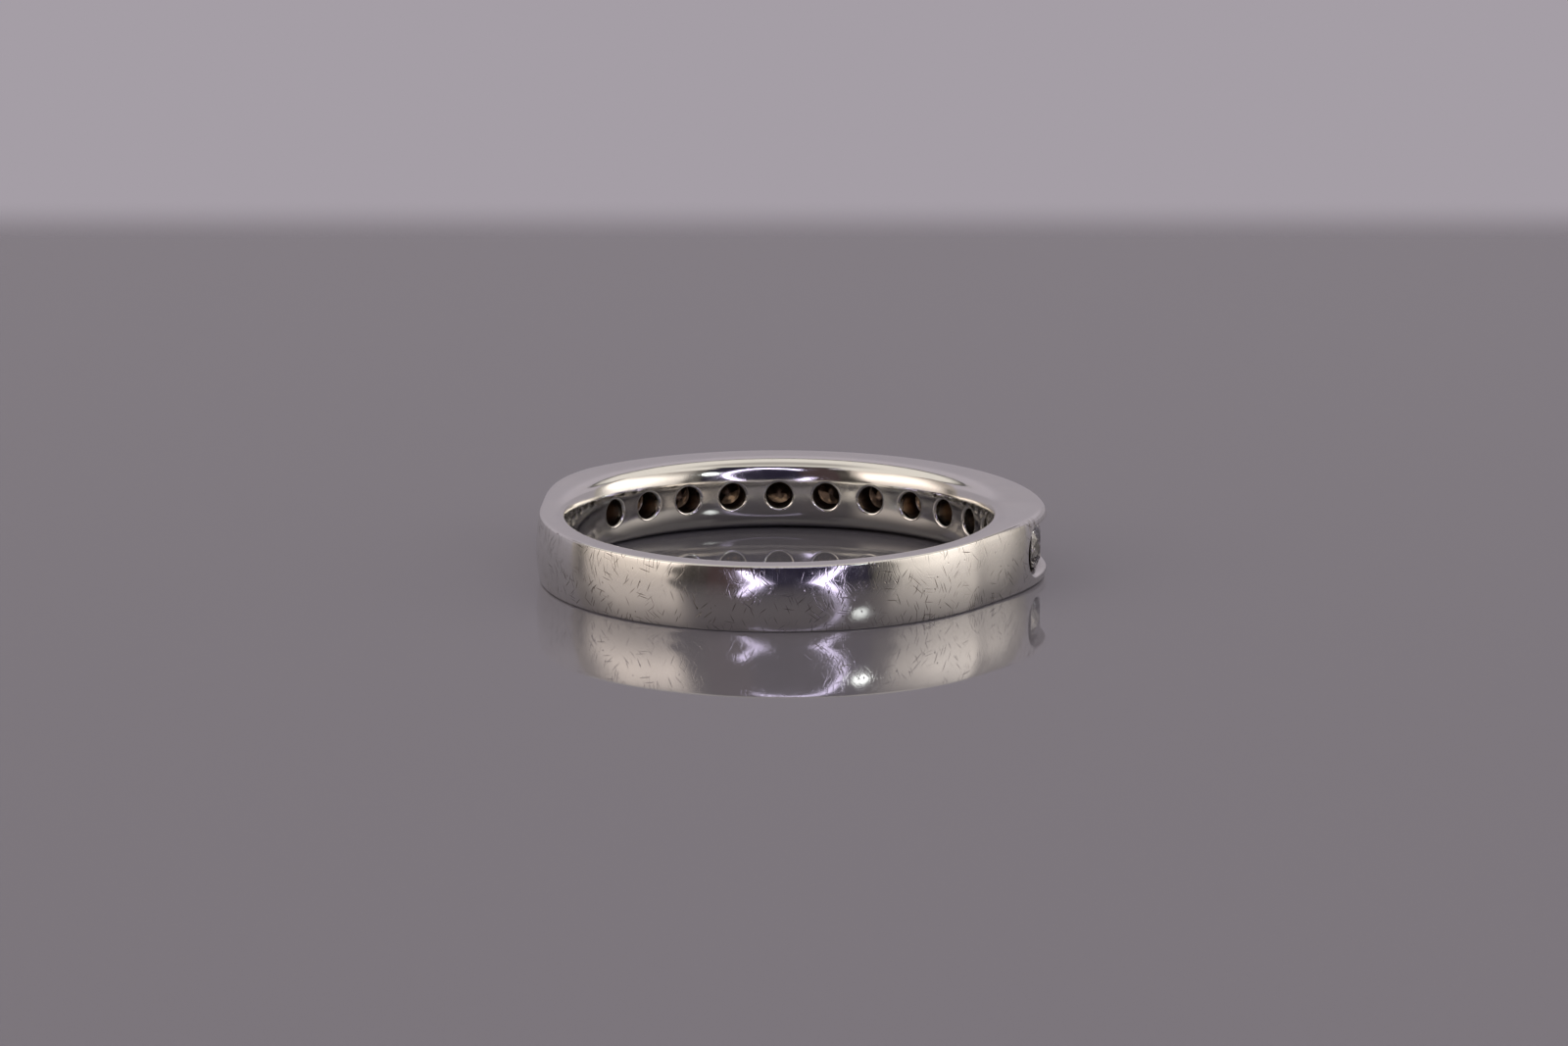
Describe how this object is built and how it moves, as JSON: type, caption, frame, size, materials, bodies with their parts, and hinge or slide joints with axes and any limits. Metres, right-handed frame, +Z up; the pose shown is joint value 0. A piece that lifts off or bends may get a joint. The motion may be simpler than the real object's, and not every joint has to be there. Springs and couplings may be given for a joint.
{
  "type": "channel set band ring",
  "caption": "White metal band ring with a single row of round brilliants channel set over its front half, lying on its side",
  "frame": {"origin": "middle of the footprint, on the surface that the ring lies on", "axes": "+Z up, along the finger hole's axis; the middle of the row of stones faces -Y and the plain shank is at +Y"},
  "size_m": [0.0208, 0.0206, 0.0029],
  "materials": {
    "white_gold": "polished",
    "diamond": "polished"
  },
  "bodies": {
    "root": {"band": "white_gold", "stone_01": "diamond", "stone_02": "diamond", "stone_03": "diamond", "stone_04": "diamond", "stone_05": "diamond", "stone_06": "diamond", "stone_07": "diamond", "stone_08": "diamond", "stone_09": "diamond", "stone_10": "diamond", "stone_11": "diamond", "stone_12": "diamond"}
  },
  "joints": []
}
